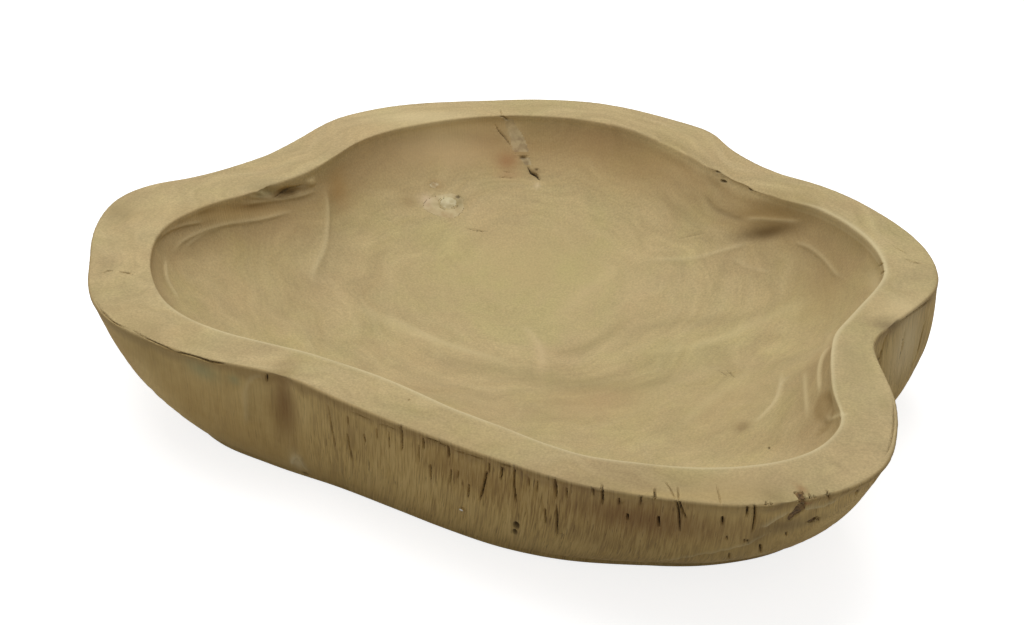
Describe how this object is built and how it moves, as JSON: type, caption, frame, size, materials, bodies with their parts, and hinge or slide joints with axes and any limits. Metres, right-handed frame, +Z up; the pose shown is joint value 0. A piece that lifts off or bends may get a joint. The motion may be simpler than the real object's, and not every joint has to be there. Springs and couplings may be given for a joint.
{
  "type": "wood bowl",
  "caption": "Free-form live-edge teak root bowl with a wide flat rim, a shallow carved hollow, a checked natural outer wall and a flat foot, for fruit or as a centrepiece.",
  "frame": {"origin": "on the surface the bowl stands on, under the middle of its bounding box", "axes": "+Z up out of the mouth, +X along the bowl's widest extent, -Y the front as pictured"},
  "size_m": [0.4522, 0.4318, 0.08],
  "materials": {
    "teak": "dry sanded teak root, bleached inside, rough natural edge outside",
    "sawdust_filler": "grey filler of sawdust and glue, sanded flush",
    "pale_filler": "pale filler, sanded flush",
    "knot_wood": "dead knot, sanded flush",
    "bark": "dry ingrown bark",
    "dried_glue": "dried white glue"
  },
  "bodies": {
    "root": {"bowl_body": "teak", "fissure_filler_upper": "sawdust_filler", "fissure_filler_lower": "sawdust_filler", "floor_knot_filler": "pale_filler", "floor_knot": "knot_wood", "floor_pin_knot": "knot_wood", "rim_bark_large": "bark", "rim_bark_small": "bark", "glue_bead": "dried_glue"}
  },
  "joints": []
}
